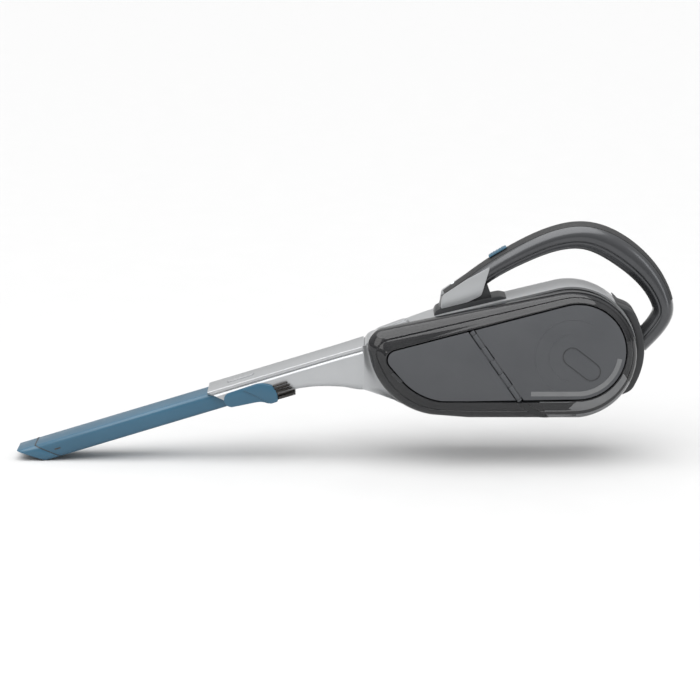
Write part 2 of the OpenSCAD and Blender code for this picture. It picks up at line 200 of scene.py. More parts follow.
# %% Grain: mould texture as a height, and a slow cloud
grain, dial, out = effect("mould_grain", [("Grains per metre", 1400), ("Cloud size", 22)],
                          ["Height", "Cloud"])
place = node(grain, "TexCoord")
fine = node(grain, "TexNoise", Detail=2.0, Roughness=0.6)
pores = node(grain, "TexVoronoi", feature="F1")
cloud = node(grain, "TexNoise", Detail=4.0, Roughness=0.55)
both = node(grain, "Math", operation="MULTIPLY_ADD")
both.inputs[1].default_value = 0.5
for texture, label in ((fine, 0), (pores, 0), (cloud, 1)):
    grain.links.new(place.outputs["Object"], texture.inputs["Vector"])
    grain.links.new(dial.outputs[label], texture.inputs["Scale"])
wire(grain,
     (pores.outputs["Distance"], both.inputs[0]), (fine.outputs["Fac"], both.inputs[2]),
     (both.outputs[0], out.inputs["Height"]), (cloud.outputs["Fac"], out.inputs["Cloud"]))
print("mould_grain has", len(grain.nodes), "nodes")

# %% Edge wear: corners that hands have polished
wear, dial, out = effect("edge_wear", [("Radius", 0.0008), ("Patch size", 160)], ["Edge"])
rounded_normal = node(wear, "Bevel", samples=4)
true_normal = node(wear, "NewGeometry")
likeness = node(wear, "VectorMath", operation="DOT_PRODUCT")
patches = node(wear, "TexNoise", Detail=3.0)
place = node(wear, "TexCoord")
wire(wear,
     (dial.outputs["Radius"], rounded_normal.inputs["Radius"]),
     (rounded_normal.outputs["Normal"], likeness.inputs[0]),
     (true_normal.outputs["Normal"], likeness.inputs[1]),
     (place.outputs["Object"], patches.inputs["Vector"]),
     (dial.outputs["Patch size"], patches.inputs["Scale"]))
edge = reach(wear, likeness.outputs["Value"], 0.995, 0.90, 0.0, 1.0)
broken = node(wear, "Math", operation="MULTIPLY")
wire(wear,
     (edge, broken.inputs[0]),
     (reach(wear, patches.outputs["Fac"], 0.35, 0.65, 0.2, 1.0), broken.inputs[1]),
     (broken.outputs[0], out.inputs["Edge"]))
print("edge_wear has", len(wear.nodes), "nodes")

# %% Dust: a thin film on faces that look up
dust, dial, out = effect("settled_dust", [("Speck size", 900), ("Most", 0.5)], ["Film"])
facing = node(dust, "NewGeometry")
upright = node(dust, "SeparateXYZ")
specks = node(dust, "TexNoise", Detail=6.0, Roughness=0.7)
place = node(dust, "TexCoord")
film = node(dust, "Math", operation="MULTIPLY")
most = node(dust, "Math", operation="MULTIPLY")
wire(dust,
     (facing.outputs["Normal"], upright.inputs[0]), (place.outputs["Object"], specks.inputs["Vector"]),
     (dial.outputs["Speck size"], specks.inputs["Scale"]),
     (reach(dust, upright.outputs["Z"], 0.35, 1.0, 0.0, 1.0), film.inputs[0]),
     (reach(dust, specks.outputs["Fac"], 0.45, 0.75, 0.0, 1.0), film.inputs[1]),
     (film.outputs[0], most.inputs[0]), (dial.outputs["Most"], most.inputs[1]),
     (most.outputs[0], out.inputs["Film"]))
print("settled_dust has", len(dust.nodes), "nodes")

# %% [markdown]
# ## Moulded finishes
# Most of the object is moulded plastic, so one recipe makes all of those finishes: the colour drifts with
# the cloud, worn corners go lighter, dust lightens the top, and the grain becomes a tiny bump. What differs
# is the dial settings: painted silver has flakes of metal in it, gunmetal is glossier, the grip is matt.

# %% The recipe for moulded plastic
def place_effect(tree, group, **dials):
    box = tree.nodes.new("ShaderNodeGroup")
    box.node_tree = group
    for label, value in dials.items():
        box.inputs[label.replace("_", " ")].default_value = value
    return box


def tinted(tree, colour_in, tint, mask):
    """Lays a tint over a colour where the mask says."""
    mix = tree.nodes.new("ShaderNodeMix")
    mix.data_type = "RGBA"
    mix.inputs["B"].default_value = (*tint, 1)
    tree.links.new(mask, mix.inputs["Factor"])
    if hasattr(colour_in, "is_output"):
        tree.links.new(colour_in, mix.inputs["A"])
    else:
        mix.inputs["A"].default_value = (*colour_in, 1)
    return mix.outputs["Result"]


finishes = {}


def moulded(name, colour, drift, shine, metal=0.0, coat=0.0, grains=1400, bump=0.00002, worn=0.25, dusty=0.3):
    """A plastic finish: shine is the lowest and highest roughness, drift the colour that it clouds to."""
    finish = bpy.data.materials.new(name)
    finish.use_nodes = True
    tree = finish.node_tree
    shader = tree.nodes["Principled BSDF"]
    shader.inputs["Metallic"].default_value = metal
    shader.inputs["Coat Weight"].default_value = coat
    shader.inputs["Coat Roughness"].default_value = 0.12
    shader.inputs["IOR"].default_value = 1.5
    texture = place_effect(tree, grain, Grains_per_metre=grains)
    corners = place_effect(tree, wear)
    film = place_effect(tree, dust, Most=dusty)
    lighter = tuple(min(1, c * 1.5 + 0.05) for c in colour)
    base = tinted(tree, colour, drift, reach(tree, texture.outputs["Cloud"], 0.3, 0.7, 0, 1))
    base = tinted(tree, base, lighter, reach(tree, corners.outputs["Edge"], 0, 1, 0, worn))
    base = tinted(tree, base, (0.55, 0.53, 0.50), reach(tree, film.outputs["Film"], 0, 1, 0, 0.25))
    tree.links.new(base, shader.inputs["Base Color"])
    tree.links.new(reach(tree, texture.outputs["Cloud"], 0.3, 0.7, *shine), shader.inputs["Roughness"])
    relief = node(tree, "Bump", Strength=1.0, Distance=bump)
    tree.links.new(texture.outputs["Height"], relief.inputs["Height"])
    tree.links.new(relief.outputs["Normal"], shader.inputs["Normal"])
    finishes[name] = finish
    print(f"{name}: {len(tree.nodes)} nodes, roughness {shine}")
    return finish


# %% Plastics of this vacuum
moulded("silver_plastic", (0.44, 0.45, 0.46), (0.405, 0.415, 0.425), (0.28, 0.34), metal=0.45, coat=0.2,
        grains=2600, dusty=0.1)
moulded("gunmetal_plastic", (0.060, 0.062, 0.066), (0.050, 0.052, 0.056), (0.20, 0.27), metal=0.5, coat=0.4)
moulded("dark_plastic", (0.020, 0.021, 0.023), (0.026, 0.027, 0.029), (0.34, 0.44), worn=0.4, dusty=0.03)
moulded("inner_plastic", (0.16, 0.165, 0.17), (0.19, 0.195, 0.20), (0.45, 0.55))
moulded("panel_plastic", (0.064, 0.067, 0.073), (0.073, 0.076, 0.082), (0.42, 0.50), metal=0.2,
        grains=2000, bump=0.00004)
moulded("blue_plastic", (0.028, 0.103, 0.168), (0.024, 0.092, 0.152), (0.30, 0.38), coat=0.15)
moulded("soft_grip", (0.014, 0.0145, 0.0155), (0.019, 0.0195, 0.0205), (0.55, 0.66), grains=1800,
        bump=0.00005, dusty=0.5)
moulded("cell_sleeve", (0.05, 0.30, 0.16), (0.04, 0.26, 0.14), (0.30, 0.40), coat=0.3, bump=0.00001)
moulded("board", (0.02, 0.12, 0.05), (0.015, 0.10, 0.04), (0.35, 0.45), coat=0.4)

# %% [markdown]
# ## Finishes with their own recipes
# The bowl is smoked plastic that lets a little light through, so its alpha is below one and rises towards
# grazing angles, where a real tinted wall is seen through more plastic. Paper, steel, bristles and the status
# light each have a texture that runs one way, which the moulded recipe can't give.


# %% Smoked plastic for the bowl
def own_recipe(name, colour, roughness, metal=0.0):
    finish = bpy.data.materials.new(name)
    finish.use_nodes = True
    shader = finish.node_tree.nodes["Principled BSDF"]
    shader.inputs["Base Color"].default_value = (*colour, 1)
    shader.inputs["Roughness"].default_value = roughness
    shader.inputs["Metallic"].default_value = metal
    finishes[name] = finish
    return finish.node_tree, shader


tree, shader = own_recipe("smoked_plastic", (0.012, 0.0125, 0.014), 0.06)
shader.inputs["IOR"].default_value = 1.52
texture = place_effect(tree, grain, Grains_per_metre=500, Cloud_size=30)
clouded = reach(tree, texture.outputs["Cloud"], 0.3, 0.7, 0, 1)
view_angle = node(tree, "LayerWeight", Blend=0.35)
tree.links.new(reach(tree, view_angle.outputs["Facing"], 0.0, 0.8, 0.88, 1.0), shader.inputs["Alpha"])
tree.links.new(reach(tree, texture.outputs["Cloud"], 0.3, 0.7, 0.04, 0.10), shader.inputs["Roughness"])
shown = tinted(tree, (0.012, 0.0125, 0.014), (0.020, 0.0205, 0.022), clouded)
tree.links.new(shown, shader.inputs["Base Color"])
print("smoked_plastic:", len(tree.nodes), "nodes")


# %% Steel, paper and bristle
def streaks(tree, shader, across, strength, colours, roughness):
    """Fine lines along one direction, for brushed metal, pleated paper and hair."""
    where = node(tree, "TexCoord")
    stretch = node(tree, "Mapping")
    stretch.inputs["Scale"].default_value = across
    lines = node(tree, "TexNoise", Scale=1.0, Detail=3.0)
    tree.links.new(where.outputs["Object"], stretch.inputs["Vector"])
    tree.links.new(stretch.outputs[0], lines.inputs["Vector"])
    shade = tinted(tree, colours[0], colours[1], reach(tree, lines.outputs["Fac"], 0.35, 0.65, 0, 1))
    tree.links.new(shade, shader.inputs["Base Color"])
    tree.links.new(reach(tree, lines.outputs["Fac"], 0.3, 0.7, *roughness), shader.inputs["Roughness"])
    relief = node(tree, "Bump", Distance=strength)
    tree.links.new(lines.outputs["Fac"], relief.inputs["Height"])
    tree.links.new(relief.outputs["Normal"], shader.inputs["Normal"])


tree, shader = own_recipe("steel", (0.6, 0.6, 0.61), 0.25, metal=1.0)
streaks(tree, shader, (300, 4000, 300), 0.00001, ((0.55, 0.55, 0.56), (0.68, 0.68, 0.69)), (0.18, 0.32))
tree, shader = own_recipe("filter_paper", (0.75, 0.73, 0.66), 0.9)
streaks(tree, shader, (900, 300, 900), 0.00006, ((0.78, 0.76, 0.69), (0.62, 0.60, 0.54)), (0.82, 0.95))
shader.inputs["Subsurface Weight"].default_value = 0.05
tree, shader = own_recipe("bristle", (0.02, 0.017, 0.015), 0.4)
streaks(tree, shader, (200, 2500, 2500), 0.00005, ((0.030, 0.024, 0.020), (0.008, 0.007, 0.006)),
        (0.30, 0.50))
tree, shader = own_recipe("lens", (0.85, 0.88, 0.9), 0.1)
streaks(tree, shader, (1500, 1500, 1500), 0.00001, ((0.80, 0.83, 0.86), (0.92, 0.94, 0.95)), (0.08, 0.16))
shader.inputs["Emission Color"].default_value = (0.9, 0.95, 1, 1)
shader.inputs["Emission Strength"].default_value = 0.3
print("finishes:", sorted(finishes))

# %% Table finish
moulded("pale_table", (0.60, 0.60, 0.60), (0.61, 0.61, 0.61), (0.75, 0.85), grains=300, worn=0,
        dusty=0)
table_top.data.materials.append(finishes.pop("pale_table"))

# %% [markdown]
# ## Softening the CAD pieces that stay
# A machined-looking edge gives a model away. Moulded edges have a radius of a few tenths of a millimetre,
# so every CAD piece that stays gets three modifiers: its split corners are joined, its sharp edges get a
# small round, and faces that meet at a small angle are shaded smooth. The meshes themselves aren't touched.


# %% A geometry node group that shades by angle
def shading_by_angle(limit):
    group = bpy.data.node_groups.new("shading_by_angle", "GeometryNodeTree")
    group.interface.new_socket("Geometry", in_out="INPUT", socket_type="NodeSocketGeometry")
    group.interface.new_socket("Geometry", in_out="OUTPUT", socket_type="NodeSocketGeometry")
    start = group.nodes.new("NodeGroupInput")
    end = group.nodes.new("NodeGroupOutput")
    faces = group.nodes.new("GeometryNodeSetShadeSmooth")
    edges = group.nodes.new("GeometryNodeSetShadeSmooth")
    edges.domain = "EDGE"
    edges.inputs["Shade Smooth"].default_value = False
    angle = group.nodes.new("GeometryNodeInputMeshEdgeAngle")
    sharp = group.nodes.new("FunctionNodeCompare")
    sharp.operation = "GREATER_THAN"
    sharp.inputs["B"].default_value = math.radians(limit)
    wire(group,
         (start.outputs[0], faces.inputs["Geometry"]),
         (faces.outputs["Geometry"], edges.inputs["Geometry"]),
         (angle.outputs["Unsigned Angle"], sharp.inputs["A"]),
         (sharp.outputs["Result"], edges.inputs["Selection"]),
         (edges.outputs["Geometry"], end.inputs[0]))
    return group


SMOOTH_BELOW = 32
by_angle = shading_by_angle(SMOOTH_BELOW)


def soften(piece, radius=0.3, join=True):
    """Joins split corners, rounds the sharp edges by a radius in millimetres, and shades by angle."""
    if join:
        weld = piece.modifiers.new("joined_corners", "WELD")
        weld.merge_threshold = 0.00002
    if radius:
        bevel = piece.modifiers.new("moulded_edges", "BEVEL")
        bevel.width = radius / 1000
        bevel.segments = 2
        bevel.limit_method = "ANGLE"
        bevel.angle_limit = math.radians(38)
        bevel.use_clamp_overlap = True
    shade = piece.modifiers.new("shading", "NODES")
    shade.node_group = by_angle


print("shading limit", SMOOTH_BELOW, "degrees")

# %% [markdown]
# ## Tools for shells
# A moulded shell is a row of outlines joined by faces, which is a loft. Each outline has the same number of
# points, so the faces are plain quads and the flow stays smooth. Sizes are typed in millimetres, as on a
# drawing, and turned to metres once, when the mesh is made.

# %% Outline helpers, in millimetres
def arc(centre, radius, start, stop, steps):
    """Points on a circle, from one angle to another in degrees."""
    turns = [math.radians(start + (stop - start) * i / steps) for i in range(steps + 1)]
    return [(centre[0] + radius * math.cos(t), centre[1] + radius * math.sin(t)) for t in turns]


def bend(before, corner, after, cut, steps=6):
    """A rounded corner that starts and ends at the distance cut from the sharp one."""
    a, b, c = Vector(before), Vector(corner), Vector(after)
    p = b + (a - b).normalized() * min(cut, (a - b).length * 0.48)
    q = b + (c - b).normalized() * min(cut, (c - b).length * 0.48)
    shares = [i / steps for i in range(steps + 1)]
    return [tuple(p * (1 - t) ** 2 + b * (2 * t * (1 - t)) + q * t * t) for t in shares]


def rounded(corners, cut, steps=6):
    """A closed outline with every corner rounded."""
    outline = []
    for i, corner in enumerate(corners):
        outline += bend(corners[i - 1], corner, corners[(i + 1) % len(corners)], cut, steps)
    return outline


def blend_value(table, x):
    """Smooth curve through rows of (x, value, value...), in order of x."""
    k = max(i for i in range(len(table) - 1) if table[i][0] <= x or i == 0)
    rows = [table[max(0, min(len(table) - 1, k + j))] for j in (-1, 0, 1, 2)]
    t = max(0.0, min(1.0, (x - rows[1][0]) / (rows[2][0] - rows[1][0])))
    found = []
    for column in range(1, len(rows[0])):
        a, b, c, d = (row[column] for row in rows)
        found.append(0.5 * (2 * b + (c - a) * t + (2 * a - 5 * b + 4 * c - d) * t * t
                            + (3 * b - a - 3 * c + d) * t ** 3))
    return found


def between(start, stop, steps):
    return [start + (stop - start) * i / steps for i in range(steps + 1)]


# %% Loft and plate helpers
def loft(rings, closed=False, capped=True, around=True):
    """Points and faces through rings. closed joins the last ring to the first; around closes each ring."""
    n = len(rings[0])
    points = [p for ring in rings for p in ring]
    faces = []
    rows = len(rings)
    for k in range(rows if closed else rows - 1):
        for i in range(n if around else n - 1):
            j, q = (i + 1) % n, (k + 1) % rows
            faces.append((k * n + i, k * n + j, q * n + j, q * n + i))
    if capped and around and not closed:
        faces.append(tuple(range(n - 1, -1, -1)))
        faces.append(tuple((rows - 1) * n + i for i in range(n)))
    return points, faces


def make(name, shapes, finish, body, stands_for=(), radius=0.3, thick=0.0, outward=None):
    """Makes a piece from (points, faces) shapes in millimetres, and gives it its finish, body and edges."""
    points, faces = [], []
    for shape in shapes:
        faces += [tuple(i + len(points) for i in face) for face in shape[1]]
        points += [Vector(p) * 0.001 for p in shape[0]]
    mesh = bpy.data.meshes.new(name)
    mesh.from_pydata(points, [], faces)
    cleaner = bmesh.new()
    cleaner.from_mesh(mesh)
    bmesh.ops.remove_doubles(cleaner, verts=cleaner.verts, dist=0.000005)
    bmesh.ops.recalc_face_normals(cleaner, faces=cleaner.faces)
    if outward:
        # An open sheet has no inside, so the face nearest a known outer point says which way is out
        face = min(cleaner.faces, key=lambda f: (f.calc_center_median() - Vector(outward) * 0.001).length)
        if face.normal.dot(Vector(outward) * 0.001 - face.calc_center_median()) < 0:
            bmesh.ops.reverse_faces(cleaner, faces=cleaner.faces)
    cleaner.to_mesh(mesh)
    cleaner.free()
    piece = bpy.data.objects.new(name, mesh)
    scene.collection.objects.link(piece)
    mesh.materials.append(finishes[finish])
    if thick:
        wall = piece.modifiers.new("wall", "SOLIDIFY")
        wall.thickness = thick / 1000
        wall.offset = -1
        wall.use_even_offset = True
    soften(piece, radius, join=False)
    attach(piece, body)
    if stands_for:
        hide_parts(*stands_for)
    print(f"{name}: {len(mesh.vertices)} points, rides on {body}")
    return piece


def plate(outline, y0, y1):
    """A flat outline in x and z, given thickness from y0 to y1."""
    return loft([[(x, y0, z) for x, z in outline], [(x, y1, z) for x, z in outline]])


# %% Openings cut through a shell
def cut_opening(piece, shape):
    """Cuts a closed shape out of a piece, and keeps the result as the piece's own mesh."""
    points, faces = shape
    block = bpy.data.meshes.new("opening")
    block.from_pydata([Vector(p) * 0.001 for p in points], [], faces)
    cleaner = bmesh.new()
    cleaner.from_mesh(block)
    bmesh.ops.recalc_face_normals(cleaner, faces=cleaner.faces)
    cleaner.to_mesh(block)
    cleaner.free()
    cutter = bpy.data.objects.new("opening", block)
    scene.collection.objects.link(cutter)
    kept = [(m.name, m.node_group) for m in piece.modifiers if m.type == "NODES"]
    for modifier in [m for m in piece.modifiers if m.type == "NODES"]:
        piece.modifiers.remove(modifier)
    cut = piece.modifiers.new("cut", "BOOLEAN")
    cut.object = cutter
    cut.solver = "EXACT"
    bpy.context.view_layer.update()
    solid = bpy.data.meshes.new_from_object(piece.evaluated_get(bpy.context.evaluated_depsgraph_get()))
    before = len(piece.data.polygons)
    piece.modifiers.clear()
    piece.data = solid
    for name, group in kept:
        piece.modifiers.new(name, "NODES").node_group = group
    bpy.data.objects.remove(cutter)
    print(f"{piece.name}: opening cut, {before} faces became {len(solid.polygons)}")


def slot_outline(length, width, steps=14):
    ends = arc(((length - width) / 2, 0), width / 2, -90, 90, steps)
    return ends + arc(((width - length) / 2, 0), width / 2, 90, 270, steps)


# %% The tilted frame of the nozzle
TILT = math.radians(17)
NOSE = Vector((-222.3, 0, 34.3))


def tilted(s, across, up):
    """A point given along, across and above the nozzle's axis, which climbs at 17 degrees."""
    return (NOSE.x + s * math.cos(TILT) - up * math.sin(TILT), across,
            NOSE.z + s * math.sin(TILT) + up * math.cos(TILT))


def axis_height(x):
    return NOSE.z + (x - NOSE.x) * math.tan(TILT)


print("axis height at the bowl:", round(axis_height(-158), 1), "mm")

# %% [markdown]
# ## Nozzle shell
# The nozzle is a painted square tube that the crevice tool slides into. Its upper part is a bit narrower
# than the lower part, so a shoulder runs along each side and catches the light. At the front it is cut at a
# rake, and at the rear its floor drops to meet the body. A loft of upright slices gives all of this at once:
# every slice holds the shoulder, and the width, drop and lean change from slice to slice.

# %% One slice of the nozzle
NOZZLE_HALF = 11.0
CHANNEL_SIDE, CHANNEL_UP = 19.5, 9.5


def nozzle_slice(x, lean, width, drop, corner):
    """Outer slice at x: the upper band, the shoulder, the bulging side and the floor."""
    top, floor = NOZZLE_HALF / math.cos(TILT), -NOZZLE_HALF / math.cos(TILT) - drop
    narrow = width / 2 - 1.7
    half = arc((narrow - 0.9, top - 0.9), 0.9, 90, 4, 4)
    half += [(narrow, 8.6), (narrow - 0.5, 8.1), (narrow - 0.4, 7.7)]
    half += arc((width / 2 - 3.6, 3.9), 3.6, 78, 4, 7)
    half += arc((width / 2 - corner, floor + corner), corner, -3, -90, 7)
    ring = half + [(-across, up) for across, up in reversed(half)]
    height = top - floor
    points = []
    for across, up in ring:
        at = x + lean * (top - up) / height
        points.append((at, across, axis_height(at) + up))
    return points


def channel_slice(x, lean, like):
    """Inner slice with as many points as the outer one, pulled in to the tool's channel."""
    points = []
    for px, py, pz in like:
        up = pz - axis_height(px)
        inside = max(-CHANNEL_UP, min(CHANNEL_UP, up))
        at = x + lean * (CHANNEL_UP - inside) / (2 * CHANNEL_UP)
        points.append((at, max(-CHANNEL_SIDE, min(CHANNEL_SIDE, py)), axis_height(at) + inside))
    return points


SLICES = [(-306, 46, 0, 5), (-222, 46, 0, 5), (-200, 46.6, 4, 5), (-178, 48, 11.3, 6), (-158, 52, 20, 8)]
rings = [nozzle_slice(-306, 30, 46, 0, 5)]
rings += [nozzle_slice(-270, 12, 46, 0, 5), nozzle_slice(-240, 3, 46, 0, 5)]
for x in between(-222, -158, 16):
    width, drop, corner = blend_value(SLICES, x)
    rings.append(nozzle_slice(x, 0, width, drop, corner))
rings.append(channel_slice(-158, 0, rings[-1]))
rings.append(channel_slice(-306, 30, rings[0]))
nozzle = make("nozzle_skin", [loft(rings, closed=True)], "silver_plastic", "housing", ["nozzle_shell"],
              radius=0)
slot_ring = slot_outline(27, 13)
cut_opening(nozzle, loft([[tilted(s - 52, across, up) for s, across in slot_ring] for up in (8, 16)]))

# %% [markdown]
# ## Crevice tool
# The tool is a long flattened tube with a raked mouth. Its CAD shape is already right, so it stays, with
# the blue finish and softened edges. Two small things are added: the seam of the glued end cap, and on each
# side near the mouth a thin dark slab of painted shade where a bleed slot, which keeps the air moving, would
# open.

# %% Fittings of the crevice tool
for name in ("crevice_tube", "crevice_tip", "crevice_stop"):
    soften(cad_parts[name], 0.35)


def slab(s0, s1, a0, a1, u0, u1):
    """A block along the tilted axis."""
    corners = [(s0, a0), (s1, a0), (s1, a1), (s0, a1)]
    return loft([[tilted(s, a, u) for s, a in corners] for u in (u0, u1)])


def bead(s0, s1, lean, width, height, thick):
    """A thin band round the tube, slanted as its mouth is."""
    rings = []
    for s, grow in ((s0, 0.0), (s0 + 0.25, thick), (s1 - 0.25, thick), (s1, 0.0)):
        corner = 4.5
        outline = []
        for cx, cz, a in ((1, 1, 0), (-1, 1, 90), (-1, -1, 180), (1, -1, 270)):
            centre = (cx * (width / 2 - corner), cz * (height / 2 - corner))
            outline += arc(centre, corner + grow, a, a + 90, 6)
        rings.append([tilted(s + lean * (0.5 - u / height), a, u) for a, u in outline])
    return loft(rings, capped=False)


make("tool_cap_seam", [bead(-257.6, -256.4, 21, 38, 17.4, 0.28)], "dark_plastic", "crevice_tool", radius=0)
# Each dark slab is painted shade for the inside of a bleed slot; no slot is cut.
slot_shades = [slab(-240, -234, side * 19.0 - 0.12, side * 19.0 + 0.12, -0.7, 0.7) for side in (-1, 1)]
make("tool_slot_painted_shade", slot_shades, "dark_plastic", "crevice_tool", radius=0.05)

# %% [markdown]
# ## Flip brush
# The brush rides on two pins beside the nozzle. Each arm is a blue pad with a round end at its pin and a step
# where the thicker head begins; a bar under the nozzle joins the two. Outlines with thickness and a wide
# bevel give the soft moulded look. Single hairs, set in tufts and spread a little at random, read as bristles
# where one solid block would not.

# %% Brush arms and head
PIVOT = -64


def arm_outline(grow):
    """Side outline of an arm along and above the nozzle's axis."""
    outline = arc((PIVOT, -2), 7.2 + grow, 95, 262, 16)
    run = [(PIVOT - 1, -9.2 - grow), (PIVOT + 26, -11.6 - grow), (PIVOT + 33, -16.2), (PIVOT + 41, -16.2),
           (PIVOT + 44.2, -9), (PIVOT + 41, 0.6), (PIVOT + 31, 6.2 + grow), (PIVOT - 0.6, 5.2 + grow)]
    for before, corner, after, cut in zip(run, run[1:], run[2:], (6, 2.5, 2.5, 4, 3, 6)):
        outline += bend(before, corner, after, cut, 5)
    return outline


def head_outline():
    """The thicker part of the arm, past the slanted step."""
    run = [(PIVOT + 12, 5.2), (PIVOT + 27, -8.5), (PIVOT + 33, -15.2), (PIVOT + 40.4, -15.2),
           (PIVOT + 43.4, -9), (PIVOT + 40.4, 0.2), (PIVOT + 30.6, 5.4)]
    return rounded(run, 3, 4)


def side_plate(outline, across0, across1):
    return loft([[tilted(s, across0, u) for s, u in outline], [tilted(s, across1, u) for s, u in outline]])


arms = []
for side in (-1, 1):
    arms.append(side_plate(arm_outline(0), side * 23.5, side * 24.6))
    arms.append(side_plate(head_outline(), side * 24.0, side * 25.8))
bar = bend((PIVOT + 33, -12), (PIVOT + 33, -16.4), (PIVOT + 42, -16.4), 3)
bar += bend((PIVOT + 33, -16.4), (PIVOT + 42, -16.4), (PIVOT + 42, -12), 3)
bar += [(PIVOT + 42, -12), (PIVOT + 33, -12)]
arms.append(side_plate(bar, -25.6, 25.6))
make("brush_arms", arms, "blue_plastic", "flip_brush", ["brush_frame"], radius=0.7)

# %% Bristles
random.seed(4)
HAIRS_IN_TUFT = 14


def hair(s, across, up, length, lean):
    """One tapered hair along the nozzle's axis, with a slight lean."""
    rings = []
    for share, radius in ((0, 0.30), (0.6, 0.26), (1, 0.10)):
        centre = (s + length * share, across + lean[0] * share ** 2, up + lean[1] * share ** 2)
        rings.append([tilted(centre[0], centre[1] + radius * math.cos(a), centre[2] + radius * math.sin(a))
                      for a in (0, math.pi / 2, math.pi, 1.5 * math.pi)])
    return loft(rings)


def tuft(s, across, up, spread, length, count):
    """A round bundle of hairs of nearly equal length."""
    hairs = []
    for _ in range(count):
        turn, reach_out = random.uniform(0, 2 * math.pi), spread * math.sqrt(random.random())
        side, rise = reach_out * math.cos(turn), reach_out * math.sin(turn)
        lean = (side * 0.25, rise * 0.35 + random.uniform(-0.1, 0.1))
        hairs.append(hair(s, across + side, up + rise, length - random.random() * 1.2, lean))
    return hairs


hairs = []
for side in (-1, 1):
    for k in range(5):
        length = 17.6 - abs(k - 1) * 1.0
        hairs += tuft(PIVOT + 43.4 - k * 0.5, side * 24.7, -13.2 + k * 3.1, 0.95, length, HAIRS_IN_TUFT)
for k in range(13):
    hairs += tuft(PIVOT + 41.6, -21 + k * 3.5, -14.2, 1.1, 17.8, HAIRS_IN_TUFT)
make("brush_hairs", hairs, "bristle", "flip_brush", ["brush_bristles"], radius=0)
soften(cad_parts["brush_pins"], 0.3)
soften(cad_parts["tool_release_button"], 0.4)

# %% [markdown]
# ## Motor housing
# The silver shell holds the motor on the far side and shows as a bright spine above the bowl and a chin
# below it. It is one outline, offset inwards as it nears the far face. The offset follows a superellipse,
# which turns from side to face in one even curve, as a moulded shell does.

# %% Outline of the motor side
HUB = (37, 60)


def motor_outline(grow):
    """Side outline of the motor housing in x and z, moved outwards by grow."""
    radius, front, low_z = 62.3 + grow, -157.5 - grow, max(0.0, -grow - 0.8)
    start = -math.degrees(math.asin(min(1, (HUB[1] - low_z) / radius)))
    outline = arc(HUB, radius, start, 102, 60)
    roof, brow = (-92, 93 + grow), (front, 68.5 + grow * 0.9)
    jaw, heel = (front, 23 - grow * 0.7), (-97, low_z + 1)
    outline += bend(outline[-1], roof, brow, 14)
    outline += bend(roof, brow, jaw, 7) + bend(brow, jaw, heel, 9) + bend(jaw, heel, (-60, low_z), 10)
    return outline + [(-60, low_z)]


def face_turn(y):
    """How far the outline has moved in at y, from none at 10 mm to 24 mm at the far face."""
    share = max(0.0, (y - 10) / 38)
    return -24 * (1 - (1 - share ** 2.6) ** (1 / 2.6))


depths = [-21.5, -18, -8, 10] + [10 + 38 * math.sin(math.radians(a)) for a in between(6, 90, 14)]
rings = []
for y in depths:
    grow = -0.5 if y < -20 else 0.0 if y < 10.1 else face_turn(y)
    rings.append([(x, y, z) for x, z in motor_outline(grow)])
points, faces = loft(rings, capped=False)
count = len(rings[0])
faces.append(tuple((len(rings) - 1) * count + i for i in range(count)))
housing = make("motor_housing", [(points, faces)], "silver_plastic", "housing", ["housing_shell"],
               radius=0, thick=2.0, outward=(37, 0, 140))
lean = math.radians(20.5)


def on_brow(along, across, up):
    """A point in the frame of the bowl's release button, on the sloping brow."""
    return (-131 + along * math.cos(lean) - up * math.sin(lean), across,
            78.4 + along * math.sin(lean) + up * math.cos(lean))


cut_opening(housing, loft([[on_brow(a, b, up) for a, b in slot_outline(34.8, 15.8)] for up in (-6, 8)]))

# %% [markdown]
# ## Dust bowl
# The bowl is a deep tinted tray lying on its side. Its wall turns through a soft roll into a front bevel,
# and a fine groove parts the two. Everything is one loft between two outlines: the rim, and the smaller one
# round the face. A table says at which depth the wall has gone how far from one to the other.

# %% Teardrop outlines
RIM = [(37, 60, 60.5), (-138, 68, 16.5), (-84, 72, 70), (-60, 0)]
FACE = [(41.3, 64.8, 47.1), (-127, 57.5, 11), (-77, 78, 62.5), (-60, 16)]


def touch(p, q):
    """Angle of the outer line that touches circle p and then circle q."""
    dx, dz = q[0] - p[0], q[1] - p[1]
    angle = math.degrees(math.atan2(dz, dx) - math.acos((p[2] - q[2]) / math.hypot(dx, dz)))
    return (angle + 360) % 360


def straight(start, stop, steps):
    """Points between two others, without either of them."""
    shares = [i / steps for i in range(1, steps)]
    return [(start[0] + (stop[0] - start[0]) * t, start[1] + (stop[1] - start[1]) * t) for t in shares]


def teardrop(circles, grow):
    """Outline round three circles and down to the base, moved outwards by grow."""
    rear, brow, chin, base = circles
    first, second, floor = touch(rear, brow), touch(brow, chin), base[1] - grow
    outline = arc(rear, rear[2] + grow, -90, first, 72)
    front = arc(brow, brow[2] + grow, first, second, 20)
    # The long straight top is split up, so that its faces stay short and shade evenly
    outline += straight(outline[-1], front[0], 16) + front
    outline += arc(chin, chin[2] + grow, second, 262, 30)
    outline += [(base[0], floor)] + straight((base[0], floor), (outline[0][0], floor), 12)
    return [(x, max(z, floor)) for x, z in outline]


def part_way(share):
    """Outline a share of the way from the rim to the face."""
    return [tuple(a * (1 - share) + b * share for a, b in zip(p, q)) for p, q in zip(RIM, FACE)]


def wall_ring(y, share, grow=0.0):
    return [(x, y, z) for x, z in teardrop(part_way(share), grow)]


# %% [markdown]
# The silver skin doesn't stop at the bowl: in front of it a fascia closes the gap between the nozzle and the
# rim, and runs down as the chin. It is a sheet of rows, one for each height, from the nozzle's rear edge to
# just behind the rim.


# %% Fascia between nozzle and bowl
def rim_front(z):
    """Where the rim's outline crosses the height z, at its front."""
    if z > 60:
        return -138 - math.sqrt(max(0.0, 16.5 ** 2 - (z - 68) ** 2))
    return -84 - math.sqrt(max(0.0, 70 ** 2 - (z - 72) ** 2))


